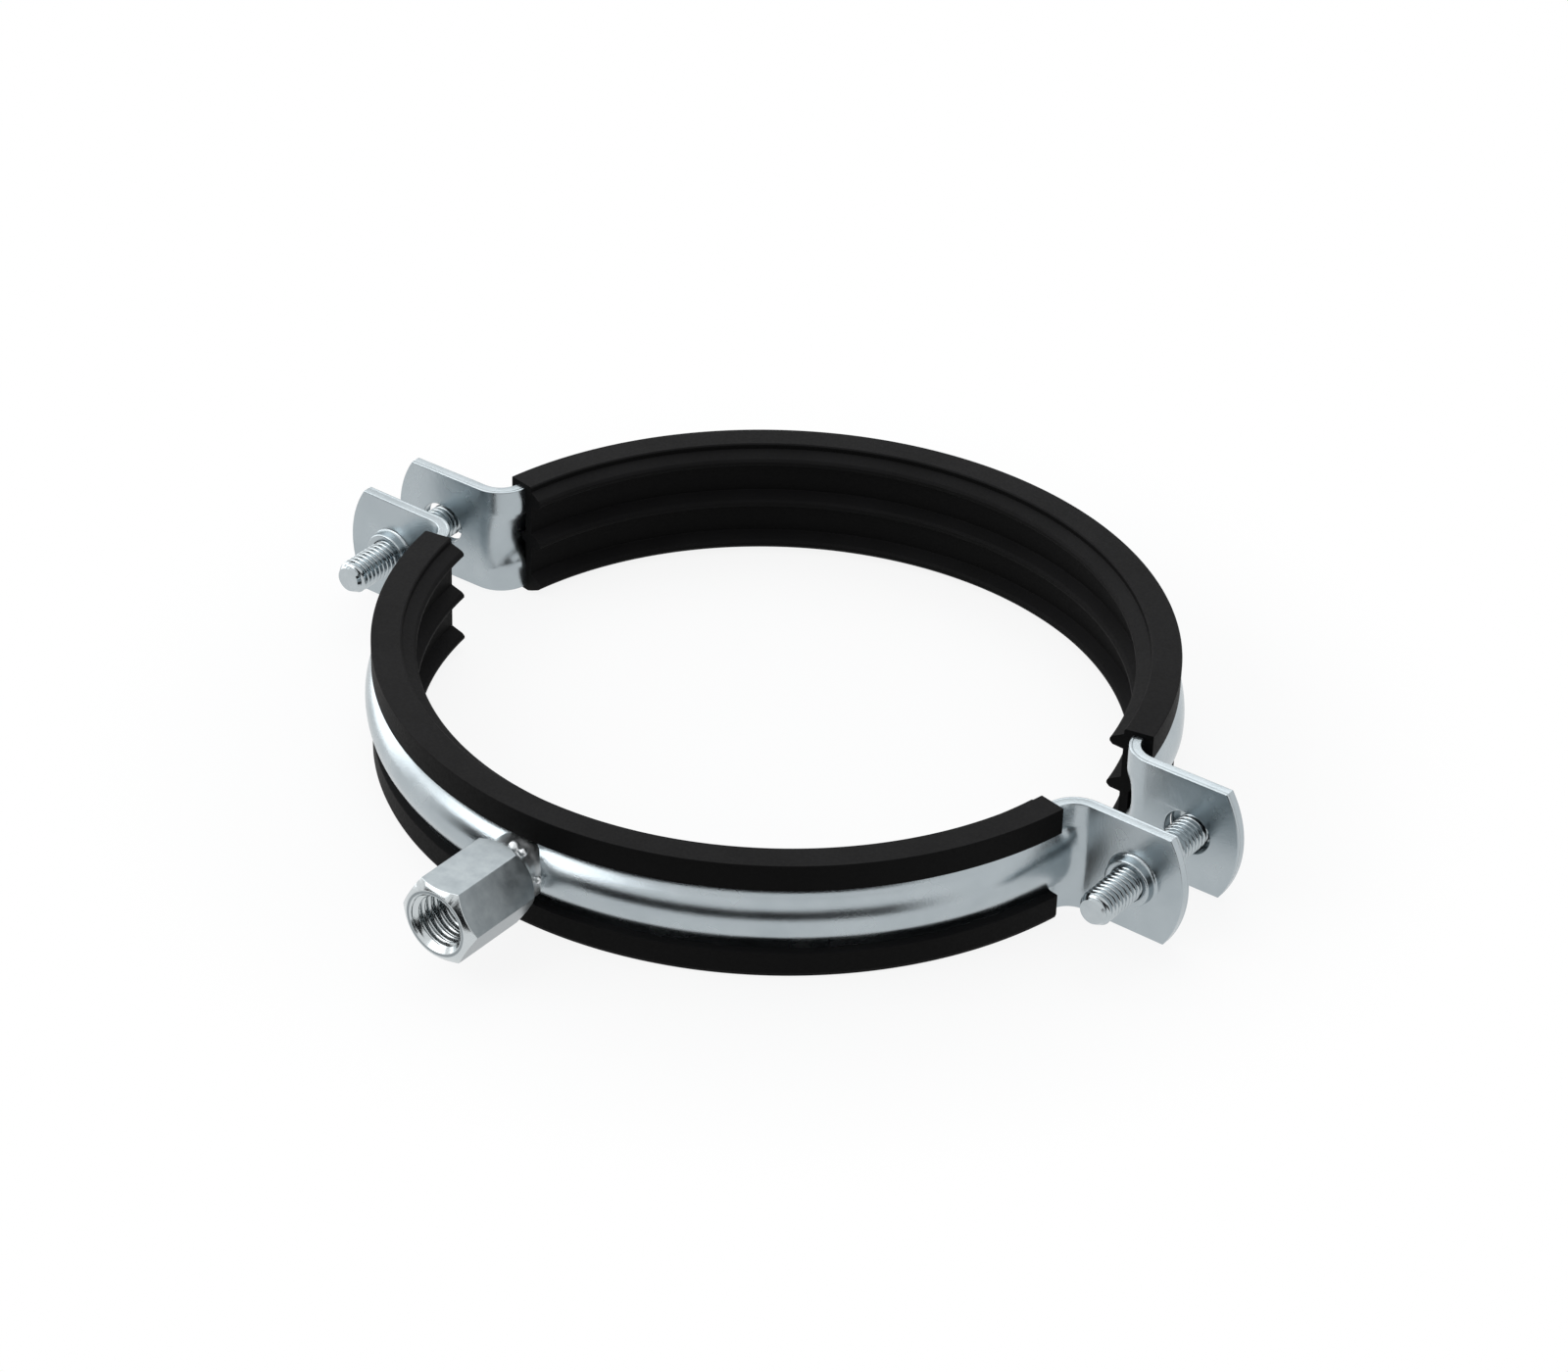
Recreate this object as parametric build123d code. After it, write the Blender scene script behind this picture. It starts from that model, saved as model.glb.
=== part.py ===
"""Two-screw lined pipe clamp, lying flat with the pipe axis upright.

Frame: origin at the middle of the pipe bore, +Z along the pipe axis, +X to the
right-hand ears, -Y out through the connection nut. All lengths are millimetres.
"""
import os
from math import atan, atan2, cos, degrees, pi, radians, sin, sqrt, tan

from build123d import *

os.makedirs("parts", exist_ok=True)

# Strip, the same for both halves
strip_width = 20.0
strip_thickness = 2.0
strip_inner_radius = 63.5
strip_outer_radius = strip_inner_radius + strip_thickness

# Pressed bead along the strip
bead_height = 2.7
bead_half_width = 5.9
bead_root_radius = 2.6
bead_run_out = 15.8            # degrees over which it sinks towards the bend
bead_at_bend = 1.5             # height left where the bend starts

# Bends, touching the ring's outer face and the ear's outer face
ear_inner_face = 6.3           # distance of the facing ear surfaces from the ring centre
ear_outer_face = ear_inner_face + strip_thickness
bend_radius = 4.0              # on the hollow side
bend_y = -(ear_outer_face + bend_radius)
bend_x = sqrt((strip_outer_radius + bend_radius) ** 2 - bend_y ** 2)
bend_start = -degrees(atan2(bend_y, bend_x))
bead_full_from = bend_start + bead_run_out

# Ears, measured outwards from the end of the bend
ear_straight = 15.1            # to the corners
ear_bulge = 2.9                # of the rounded end
ear_corner_x = bend_x + ear_straight
ear_tip_x = ear_corner_x + ear_bulge
screw_from_bend = 8.7
screw_x = bend_x + screw_from_bend

# Screws, M6 x 30 cheese head
screw_radius = 2.95
screw_length = 30.0
screw_tip_chamfer = 0.8
head_radius = 4.9
head_height = 3.6
head_edge_round = 0.6
head_edge_facet = 0.2
drive_slot_width = 1.7
drive_slot_depth = 1.8

# Threaded collars of the front half
screw_clearance = 0.05
collar_bore_radius = screw_radius + screw_clearance
collar_wall = 1.2
collar_radius = collar_bore_radius + collar_wall
collar_height = 2.0
collar_root_round = 0.9
collar_lip_round = 0.35
collar_entry_round = 0.6

# Slotted holes of the rear half
slot_play = 1.1                # height of the slot over the screw
slot_length = 8.4
slot_from_bend = 4.2
slot_height = 2 * screw_radius + slot_play

# The rear half sits turned a little about the pipe axis, and one head rests on its ear
cap_turn = 1.2                 # degrees
head_clearance = 0.03
seat_y = (ear_outer_face / cos(radians(cap_turn))
          + (screw_x + head_radius) * tan(radians(cap_turn)) + head_clearance)

# Lining section
web_thickness = 1.5
rib_height = 2.4
leg_thickness = 1.6
web_inner_radius = strip_inner_radius - web_thickness
bore_radius = web_inner_radius - rib_height    # lands on the rib noses, the pipe sits here
leg_outer_radius = strip_outer_radius + leg_thickness
edge_wrap = 0.7
lining_half_width = strip_width / 2 + edge_wrap
leg_clearance = 0.05
leg_edge_z = bead_half_width + leg_clearance
lining_setback = 0.4           # degrees from the bend
lining_end = bend_start + lining_setback
keel_depth = 1.1
keel_half_height = 1.0
keel_taper = 0.25

# Ribs of the lining, the same hooked shape three times
rib_count = 3
rib_top_margin = 1.0
rib_bottom_margin = 1.3
rib_shoulder = (0.42, 0.95)    # back from the nose, down from the root
rib_nose = (1.42, 1.92)        # the land's two edges, down from the root
rib_chin = (0.55, 2.5)
rib_foot = 2.85
rib_pitch = (2 * lining_half_width - rib_top_margin - rib_bottom_margin - rib_chin[1]) / (rib_count - 1)
rib_roots = [lining_half_width - rib_top_margin - k * rib_pitch for k in range(rib_count)]

# Connection nut
nut_flats = 13.0
nut_length = 16.3
nut_standoff = 2.6             # from the crown of the bead
nut_rear = -(strip_outer_radius + bead_height + nut_standoff)
nut_front = nut_rear - nut_length
nut_chamfer = 30.0             # degrees
nut_face_share = 0.985         # chamfer circle over the flats
mouth_bore_radius = 4.25       # tap drill for M10 x 1.5
inner_bore_radius = 3.4        # tap drill for M8 x 1.25
mouth_bore_depth = 9.0
bore_step = 0.5
mouth_sink_radius = 5.2

# Weld metal between the nut and the bead, with a few spatter beads
weld_radius_nut = 5.7
weld_radius_neck = 5.2
weld_radius_band = 5.6
weld_neck_from, weld_neck_to = 0.6, 1.3        # behind the nut
weld_flare = 2.3               # ahead of its inner end
weld_land = 0.7
weld_draw_in = 0.9
weld_lift = 0.7                # inner end above the strip's outer face
weld_end = -(strip_outer_radius + weld_lift)
spatter = ((1.3, 0.7, 5.9, 1.1), (2.9, 1.0, 5.2, 0.8), (5.7, 1.5, 1.1, 0.85), (-5.3, 1.5, -1.6, 0.7))


def beadEdges(place, height, depth):
    """Edges across the bead from low z to high z, at a depth below the strip's outer face."""
    if height <= 0:
        level = strip_thickness - depth
        stops = [-bead_half_width, -bead_half_width / 2, bead_half_width / 2, bead_half_width]
        points = [place(level, z) for z in stops]
        return [Edge.make_line(a, b) for a, b in zip(points, points[1:])]
    slope = 2 * atan(height / bead_half_width)
    crown = bead_half_width / sin(slope) - bead_root_radius

    def rootPoint(tilt, sign):
        reach = bead_root_radius + depth
        return place(strip_thickness + bead_root_radius - reach * cos(tilt),
                     sign * (bead_half_width - reach * sin(tilt)))

    def crownPoint(tilt):
        reach = crown - depth
        return place(strip_thickness + height - crown + reach * cos(tilt), reach * sin(tilt))
    return [
        Edge.make_three_point_arc(rootPoint(0, -1), rootPoint(slope / 2, -1), rootPoint(slope, -1)),
        Edge.make_three_point_arc(crownPoint(-slope), crownPoint(0), crownPoint(slope)),
        Edge.make_three_point_arc(rootPoint(slope, 1), rootPoint(slope / 2, 1), rootPoint(0, 1)),
    ]


def sectionFace(place, height):
    """Cross-section of the strip as a face; place(d, z) gives the point in space."""
    half = strip_width / 2
    outer = beadEdges(place, height, 0)
    inner = beadEdges(place, height, strip_thickness)
    corners = [place(d, z) for d, z in ((0, half), (strip_thickness, half), (strip_thickness, -half), (0, -half))]
    edges = [
        Edge.make_line(corners[0], corners[1]),
        Edge.make_line(corners[1], outer[-1] @ 1),
        *outer[::-1],
        Edge.make_line(outer[0] @ 0, corners[2]),
        Edge.make_line(corners[2], corners[3]),
        Edge.make_line(corners[3], inner[0] @ 0),
        *inner,
        Edge.make_line(inner[-1] @ 1, corners[0]),
    ]
    return Face(Wire(edges))


def onArc(angle):
    """Place on the ring; angle in degrees below the ear line, right-hand side."""
    a = -radians(angle)

    def place(d, z):
        r = strip_inner_radius + d
        return Vector(r * cos(a), r * sin(a), z)
    return place


def onBend(part):
    """Place in the bend; part runs from 0 at the ring to 1 at the ear."""
    startAngle = atan2(-bend_y, -bend_x)
    a = startAngle + part * (pi / 2 - startAngle)

    def place(d, z):
        r = bend_radius + strip_thickness - d
        return Vector(bend_x + r * cos(a), bend_y + r * sin(a), z)
    return place


def easeHeight(angle):
    """Bead height along the run-out of the ring."""
    t = min(1.0, max(0.0, (angle - bend_start) / (bead_full_from - bend_start)))
    return bead_at_bend + (bead_height - bead_at_bend) * t * t * (3 - 2 * t)


def bandHalf(withCollars):
    """Front half of the strip: ring, bead run-outs, bends and ears."""
    sweepAngle = 180 - 2 * bead_full_from
    section = sectionFace(onArc(bead_full_from), bead_height)
    band = Solid.revolve(section, -sweepAngle, Axis.Z)

    angles = [bead_full_from - (bead_full_from - bend_start) * k / 6 for k in range(7)]
    runOut = Solid.make_loft([sectionFace(onArc(a), easeHeight(a)).outer_wire() for a in angles])
    parts = [k / 5 for k in range(6)]
    bend = Solid.make_loft([sectionFace(onBend(k), bead_at_bend * (1 - k * k * (3 - 2 * k))).outer_wire()
                            for k in parts])

    half = strip_width / 2
    sagitta = ear_tip_x - ear_corner_x
    outline = Wire([
        Edge.make_line((bend_x, 0, -half), (ear_corner_x, 0, -half)),
        Edge.make_three_point_arc((ear_corner_x, 0, -half), (ear_corner_x + sagitta, 0, 0), (ear_corner_x, 0, half)),
        Edge.make_line((ear_corner_x, 0, half), (bend_x, 0, half)),
        Edge.make_line((bend_x, 0, half), (bend_x, 0, -half)),
    ])
    ear = Solid.extrude(Face(outline).moved(Location((0, -ear_outer_face, 0))), Vector(0, strip_thickness, 0))

    side = Part() + runOut + bend + ear
    if withCollars:
        collarTip = -(ear_outer_face + collar_height)
        profile = Polyline(
            (screw_x, -ear_outer_face + 0.5),
            (screw_x, collarTip),
            (screw_x + collar_radius, collarTip),
            (screw_x + collar_radius, -ear_outer_face + 0.5),
            close=True,
        )
        collar = revolve(make_face(profile), Axis((screw_x, 0, 0), (0, 1, 0)), 360)
        side = side + collar
        root = [e for e in side.edges().filter_by(GeomType.CIRCLE)
                if abs(e.radius - collar_radius) < 1e-3 and abs(e.center().Y + ear_outer_face) < 1e-3]
        side = fillet(root, collar_root_round)
        bore = Cylinder(collar_bore_radius, -3 * collarTip).rotate(Axis.X, 90).moved(Location((screw_x, 0, 0)))
        side = side - bore
        lip = [e for e in side.edges().filter_by(GeomType.CIRCLE)
               if abs(e.radius - collar_radius) < 1e-3 and abs(e.center().Y - collarTip) < 1e-3]
        side = fillet(lip, collar_lip_round)
        entry = [e for e in side.edges().filter_by(GeomType.CIRCLE)
                 if abs(e.radius - collar_bore_radius) < 1e-3 and abs(e.center().Y + ear_inner_face) < 1e-3]
        side = fillet(entry, collar_entry_round)
    else:
        slotHole = SlotOverall(slot_length, slot_height)
        middle = bend_x + slot_from_bend + slot_length / 2
        cutter = extrude(Plane.XZ * slotHole, 2 * ear_outer_face, both=True).moved(Location((middle, 0, 0)))
        side = side - cutter
    sideLeft = mirror(side, Plane.YZ)
    return Part() + band + side + sideLeft


base_band = bandHalf(True)
cap_band = mirror(bandHalf(False), Plane.XZ)


def liningSection():
    """Lining cross-section in the XZ plane, at the ring's right-hand side."""
    top = lining_half_width
    half = strip_width / 2
    ribs = []
    for root in rib_roots:
        ribs += [
            (web_inner_radius, root),
            (bore_radius + rib_shoulder[0], root - rib_shoulder[1]),
            (bore_radius, root - rib_nose[0]),
            (bore_radius, root - rib_nose[1]),
            (bore_radius + rib_chin[0], root - rib_chin[1]),
        ]
        if root > rib_roots[-1]:
            ribs += [(web_inner_radius, root - rib_foot)]
    bottom = [
        (web_inner_radius - 0.15, -top + 0.45),
        (web_inner_radius + 0.9, -top),
        (leg_outer_radius - 0.9, -top),
        (leg_outer_radius - 0.25, -top + 0.3),
        (leg_outer_radius, -top + 0.95),
    ]
    legs = [
        (leg_outer_radius, -leg_edge_z),
        (strip_outer_radius, -leg_edge_z),
        (strip_outer_radius, -half),
        (strip_inner_radius, -half),
        (strip_inner_radius, -keel_half_height),
        (strip_inner_radius + keel_depth, -keel_half_height + keel_taper),
        (strip_inner_radius + keel_depth, keel_half_height - keel_taper),
        (strip_inner_radius, keel_half_height),
        (strip_inner_radius, half),
        (strip_outer_radius, half),
        (strip_outer_radius, leg_edge_z),
        (leg_outer_radius, leg_edge_z),
        (leg_outer_radius, top),
        (web_inner_radius + 0.25, top),
        (web_inner_radius, top - 0.2),
    ]
    points = [(x, 0, z) for x, z in ribs + bottom + legs]
    return Face(Wire([Edge.make_line(a, b) for a, b in zip(points, points[1:] + points[:1])]))


section = liningSection().rotate(Axis.Z, -lining_end)
base_lining = Part() + Solid.revolve(section, -(180 - 2 * lining_end), Axis.Z)
cap_lining = mirror(base_lining, Plane.XZ)

# Connection nut: hexagon bar, both ends turned to a 30 degree chamfer, stepped bore
nutAxis = Axis((0, 0, 0), (0, 1, 0))
across = nut_flats / 2
corner = across / cos(radians(30))
blank = corner + 0.3
face_radius = across * nut_face_share
hexagon = RegularPolygon(corner, 6, rotation=0)
bar = extrude(Plane.XZ * hexagon, -nut_length).moved(Location((0, nut_front, 0)))
fall = (blank - face_radius) * tan(radians(nut_chamfer))
turned = revolve(make_face(Polyline(
    (0, nut_front), (face_radius, nut_front), (blank, nut_front + fall),
    (blank, nut_rear - fall), (face_radius, nut_rear), (0, nut_rear), close=True)), nutAxis, 360)
boreShape = revolve(make_face(Polyline(
    (0, nut_front), (mouth_sink_radius, nut_front),
    (mouth_bore_radius, nut_front + mouth_sink_radius - mouth_bore_radius),
    (mouth_bore_radius, nut_front + mouth_bore_depth),
    (inner_bore_radius, nut_front + mouth_bore_depth + bore_step),
    (inner_bore_radius, nut_rear), (0, nut_rear), close=True)), nutAxis, 360)
connection_nut = (bar & turned) - boreShape

# Weld metal: a waisted ring from the nut's rear face down onto the bead, with spatter
weldProfile = make_face(Polyline(
    (0, nut_rear), (weld_radius_nut, nut_rear), (weld_radius_neck, nut_rear + weld_neck_from),
    (weld_radius_neck, nut_rear + weld_neck_to), (weld_radius_band, weld_end - weld_flare),
    (weld_radius_band, weld_end - weld_flare + weld_land), (weld_radius_band - weld_draw_in, weld_end),
    (0, weld_end), close=True))
weld = Part() + revolve(weldProfile, nutAxis, 360)
for x, back, z, size in spatter:
    weld = weld + Sphere(size).moved(Location((x, nut_rear + back, z)))
nut_weld = weld - base_band - connection_nut
nut_weld = Part() + max(nut_weld.solids(), key=lambda s: s.volume)


def machineScrew(side):
    """M6 x 30 cheese head screw; the tip points to -Y, head under face at seat_y."""
    tip = seat_y - screw_length
    top = seat_y + head_height
    profile = Polyline(
        (0, tip), (screw_radius - screw_tip_chamfer, tip), (screw_radius, tip + screw_tip_chamfer),
        (screw_radius, seat_y), (head_radius, seat_y), (head_radius, top - head_edge_round),
        (head_radius - head_edge_facet, top - head_edge_facet), (head_radius - head_edge_round, top),
        (0, top), close=True)
    body = revolve(make_face(profile), nutAxis, 360)
    drive = Box(2 * head_radius + 1, drive_slot_depth, drive_slot_width).moved(
        Location((0, top - drive_slot_depth / 2, 0)))
    return (body - drive).moved(Location((side * screw_x, 0, 0)))


screw_right = machineScrew(1)
screw_left = machineScrew(-1)

cap_band = cap_band.rotate(Axis.Z, cap_turn)
cap_lining = cap_lining.rotate(Axis.Z, cap_turn)

nodes = {
    "base_band": base_band,
    "base_lining": base_lining,
    "connection_nut": connection_nut,
    "nut_weld": nut_weld,
    "cap_band": cap_band,
    "cap_lining": cap_lining,
    "screw_right": screw_right,
    "screw_left": screw_left,
}
for name, shape in nodes.items():
    solids = shape.solids()
    print(name, len(solids), "solid", round(sum(s.volume for s in solids)), "mm3", shape.is_valid)
    export_step(solids[0] if len(solids) == 1 else Compound(solids), f"parts/{name}.step")
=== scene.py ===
from math import atan, atan2, cos, pi, radians, sin, sqrt, tan

import bmesh
import bpy
from mathutils import Matrix, Vector, noise
from mathutils.geometry import tessellate_polygon


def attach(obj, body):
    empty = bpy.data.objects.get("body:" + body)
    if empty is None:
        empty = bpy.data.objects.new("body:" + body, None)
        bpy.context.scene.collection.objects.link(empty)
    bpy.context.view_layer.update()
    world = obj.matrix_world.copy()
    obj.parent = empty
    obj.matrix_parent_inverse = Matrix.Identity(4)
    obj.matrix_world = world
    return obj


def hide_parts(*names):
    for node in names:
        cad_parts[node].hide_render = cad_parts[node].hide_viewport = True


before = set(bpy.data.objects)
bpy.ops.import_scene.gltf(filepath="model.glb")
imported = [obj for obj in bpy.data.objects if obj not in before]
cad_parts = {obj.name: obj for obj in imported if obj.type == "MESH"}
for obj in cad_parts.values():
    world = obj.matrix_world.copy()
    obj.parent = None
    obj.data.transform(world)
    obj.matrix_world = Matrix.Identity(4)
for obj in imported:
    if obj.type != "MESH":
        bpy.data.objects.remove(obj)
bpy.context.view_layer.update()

# Two-screw lined pipe clamp, lying flat. Sizes below are millimetres, as in the part's source.
mm = 0.001
joinDistance = 0.0004  # points closer than this, in millimetres, are one point


# Small helpers

def hexColor(code):
    parts = [int(code[i:i + 2], 16) / 255 for i in (1, 3, 5)]
    return [c / 12.92 if c <= 0.04045 else ((c + 0.055) / 1.055) ** 2.4 for c in parts] + [1.0]


def addNode(tree, kind, settings=None, inputs=None):
    node = tree.nodes.new(kind)
    for key, value in (settings or {}).items():
        setattr(node, key, value)
    for key, value in (inputs or {}).items():
        if isinstance(value, bpy.types.NodeSocket):
            tree.links.new(value, node.inputs[key])
        else:
            node.inputs[key].default_value = value
    return node


def newObject(name, mesh):
    obj = bpy.data.objects.new(name, mesh)
    bpy.context.scene.collection.objects.link(obj)
    return obj


def buildMesh(name, points, faces):
    # points in millimetres; close points are joined and normals turned outwards
    mesh = bpy.data.meshes.new(name)
    mesh.from_pydata([(x * mm, y * mm, z * mm) for x, y, z in points], [], faces)
    bm = bmesh.new()
    bm.from_mesh(mesh)
    bmesh.ops.remove_doubles(bm, verts=bm.verts, dist=joinDistance * mm)
    bmesh.ops.dissolve_degenerate(bm, edges=bm.edges, dist=joinDistance * mm * 0.5)
    bmesh.ops.recalc_face_normals(bm, faces=bm.faces)
    bm.to_mesh(mesh)
    bm.free()
    return mesh


def turnOutward(mesh, joinPoints):
    bm = bmesh.new()
    bm.from_mesh(mesh)
    if joinPoints:
        bmesh.ops.remove_doubles(bm, verts=bm.verts, dist=joinDistance * mm)
    bmesh.ops.recalc_face_normals(bm, faces=bm.faces)
    bm.to_mesh(mesh)
    bm.free()


def smoothByAngle(mesh, degreesLimit):
    for polygon in mesh.polygons:
        polygon.use_smooth = True
    mesh.set_sharp_from_angle(angle=radians(degreesLimit))


def applyModifiers(obj):
    depsgraph = bpy.context.evaluated_depsgraph_get()
    mesh = bpy.data.meshes.new_from_object(obj.evaluated_get(depsgraph))
    obj.modifiers.clear()
    obj.data = mesh
    return obj


def softenEdges(obj, width, degreesLimit):
    bevel = obj.modifiers.new("soft", "BEVEL")
    bevel.width = width * mm
    bevel.segments = 2
    bevel.limit_method = "ANGLE"
    bevel.angle_limit = radians(degreesLimit)


def ringPoints(radius, y, around, centreX=0.0):
    # a circle about the Y axis, or about a line beside it
    return [(centreX + radius * sin(2 * pi * k / around), y, radius * cos(2 * pi * k / around))
            for k in range(around)]


def weightNormals(obj):
    # flat faces stay flat beside narrow rounded edges
    modifier = obj.modifiers.new("weightNormals", "WEIGHTED_NORMAL")
    modifier.keep_sharp = True
    modifier.weight = 60
    return applyModifiers(obj)


def dress(obj, material, body, slot, *nodes):
    obj.data.materials.clear()
    obj.data.materials.append(material)
    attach(obj, body)
    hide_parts(*nodes)


# Materials

def newMaterial(name):
    material = bpy.data.materials.new(name)
    material.use_nodes = True
    tree = material.node_tree
    return material, tree, tree.nodes["Principled BSDF"]


def zincPlate(name, look):
    # bright zinc over steel: a metal with a fine grain and a cloudy gloss. The real grain is
    # finer than a pixel, so it is drawn at a few tenths of a millimetre to show at all.
    material, tree, shader = newMaterial(name)
    place = addNode(tree, "ShaderNodeTexCoord")
    clouds = addNode(tree, "ShaderNodeTexNoise", None, {
        "Vector": place.outputs["Object"], "Scale": 1 / (look["cloudSize"] * mm),
        "Detail": 3.0, "Roughness": 0.55})
    tone = addNode(tree, "ShaderNodeMix", {"data_type": "RGBA"}, {
        "Factor": clouds.outputs["Fac"], "A": hexColor(look["dark"]), "B": hexColor(look["light"])})
    gloss = addNode(tree, "ShaderNodeMapRange", None, {
        "Value": clouds.outputs["Fac"], "From Min": 0.3, "From Max": 0.7,
        "To Min": look["rough"][0], "To Max": look["rough"][1]})
    if "turned" in look:
        # the end turned on the lathe lies below the chamfer's cone, and so does the bored thread; both get a
        # smoother gloss and a lighter tone that is a painted highlight
        cone = look["turned"]
        split = addNode(tree, "ShaderNodeSeparateXYZ", None, {0: place.outputs["Object"]})
        flat = addNode(tree, "ShaderNodeCombineXYZ", None, {"X": split.outputs["X"], "Y": split.outputs["Z"]})
        reach = addNode(tree, "ShaderNodeVectorMath", {"operation": "LENGTH"}, {0: flat.outputs[0]})
        beyond = addNode(tree, "ShaderNodeMath", {"operation": "SUBTRACT"}, {
            0: reach.outputs["Value"], 1: cone["faceRadius"] * mm})
        rise = addNode(tree, "ShaderNodeMath", {"operation": "MULTIPLY"}, {
            0: beyond.outputs[0], 1: cone["slope"]})
        height = addNode(tree, "ShaderNodeMath", {"operation": "SUBTRACT"}, {
            0: split.outputs["Y"], 1: cone["front"] * mm})
        above = addNode(tree, "ShaderNodeMath", {"operation": "SUBTRACT"}, {
            0: height.outputs[0], 1: rise.outputs[0]})
        onCone = addNode(tree, "ShaderNodeMapRange", None, {
            "Value": above.outputs[0], "From Min": 0.1 * mm, "From Max": 0.16 * mm,
            "To Min": 1.0, "To Max": 0.0})
        inBore = addNode(tree, "ShaderNodeMath", {"operation": "LESS_THAN"}, {
            0: reach.outputs["Value"], 1: cone["boreRadius"] * mm})
        turnedGlossAndPaintedHighlight = addNode(tree, "ShaderNodeMath", {"operation": "MAXIMUM"}, {
            0: onCone.outputs["Result"], 1: inBore.outputs[0]})
        # painted highlight: the chamfer and bore take a lighter tone
        tone = addNode(tree, "ShaderNodeMix", {"data_type": "RGBA"}, {
            "Factor": turnedGlossAndPaintedHighlight.outputs[0], "A": tone.outputs["Result"], "B": hexColor(cone["tone"])})
        gloss = addNode(tree, "ShaderNodeMix", {"data_type": "FLOAT"}, {
            0: turnedGlossAndPaintedHighlight.outputs[0], 2: gloss.outputs["Result"], 3: cone["rough"]})
        tree.links.new(gloss.outputs[0], shader.inputs["Roughness"])
    else:
        tree.links.new(gloss.outputs["Result"], shader.inputs["Roughness"])
    grain = addNode(tree, "ShaderNodeTexNoise", None, {
        "Vector": place.outputs["Object"], "Scale": 1 / (look["grainSize"] * mm),
        "Detail": 2.0, "Roughness": 0.6})
    pits = addNode(tree, "ShaderNodeTexNoise", None, {
        "Vector": place.outputs["Object"], "Scale": 1 / (look["pitSize"] * mm),
        "Detail": 3.0, "Roughness": 0.65})
    relief = addNode(tree, "ShaderNodeMath", {"operation": "MULTIPLY_ADD"}, {
        0: pits.outputs["Fac"], 1: look["pitShare"], 2: grain.outputs["Fac"]})
    bump = addNode(tree, "ShaderNodeBump", None, {
        "Height": relief.outputs[0], "Strength": look["bump"], "Distance": look["bumpDepth"] * mm})
    tree.links.new(tone.outputs["Result"], shader.inputs["Base Color"])
    tree.links.new(bump.outputs["Normal"], shader.inputs["Normal"])
    shader.inputs["Metallic"].default_value = 1.0
    return material


stripLook = {"dark": "#99a3a8", "light": "#bbc3c7", "cloudSize": 9.0, "rough": (0.20, 0.30),
             "grainSize": 0.25, "pitSize": 1.4, "pitShare": 0.15, "bump": 0.8, "bumpDepth": 0.03}
zincStrip = zincPlate("zincPlatedStrip", stripLook)

# the screws' zinc lies over smooth rolled steel, so it is the brightest and glossiest
screwLook = {"dark": "#a3abaf", "light": "#c2c9cc", "cloudSize": 3.0, "rough": (0.13, 0.22),
             "grainSize": 0.2, "pitSize": 0.6, "pitShare": 0.4, "bump": 0.18, "bumpDepth": 0.015}
zincScrew = zincPlate("zincPlatedScrew", screwLook)

# weld metal cools in small lumps and is plated afterwards, pale and uneven in gloss
weldLook = {"dark": "#bfc4c6", "light": "#e2e5e6", "cloudSize": 1.2, "rough": (0.3, 0.45),
            "grainSize": 0.3, "pitSize": 0.9, "pitShare": 0.5, "bump": 0.3, "bumpDepth": 0.02}
weldMetal = zincPlate("platedWeldMetal", weldLook)


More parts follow.
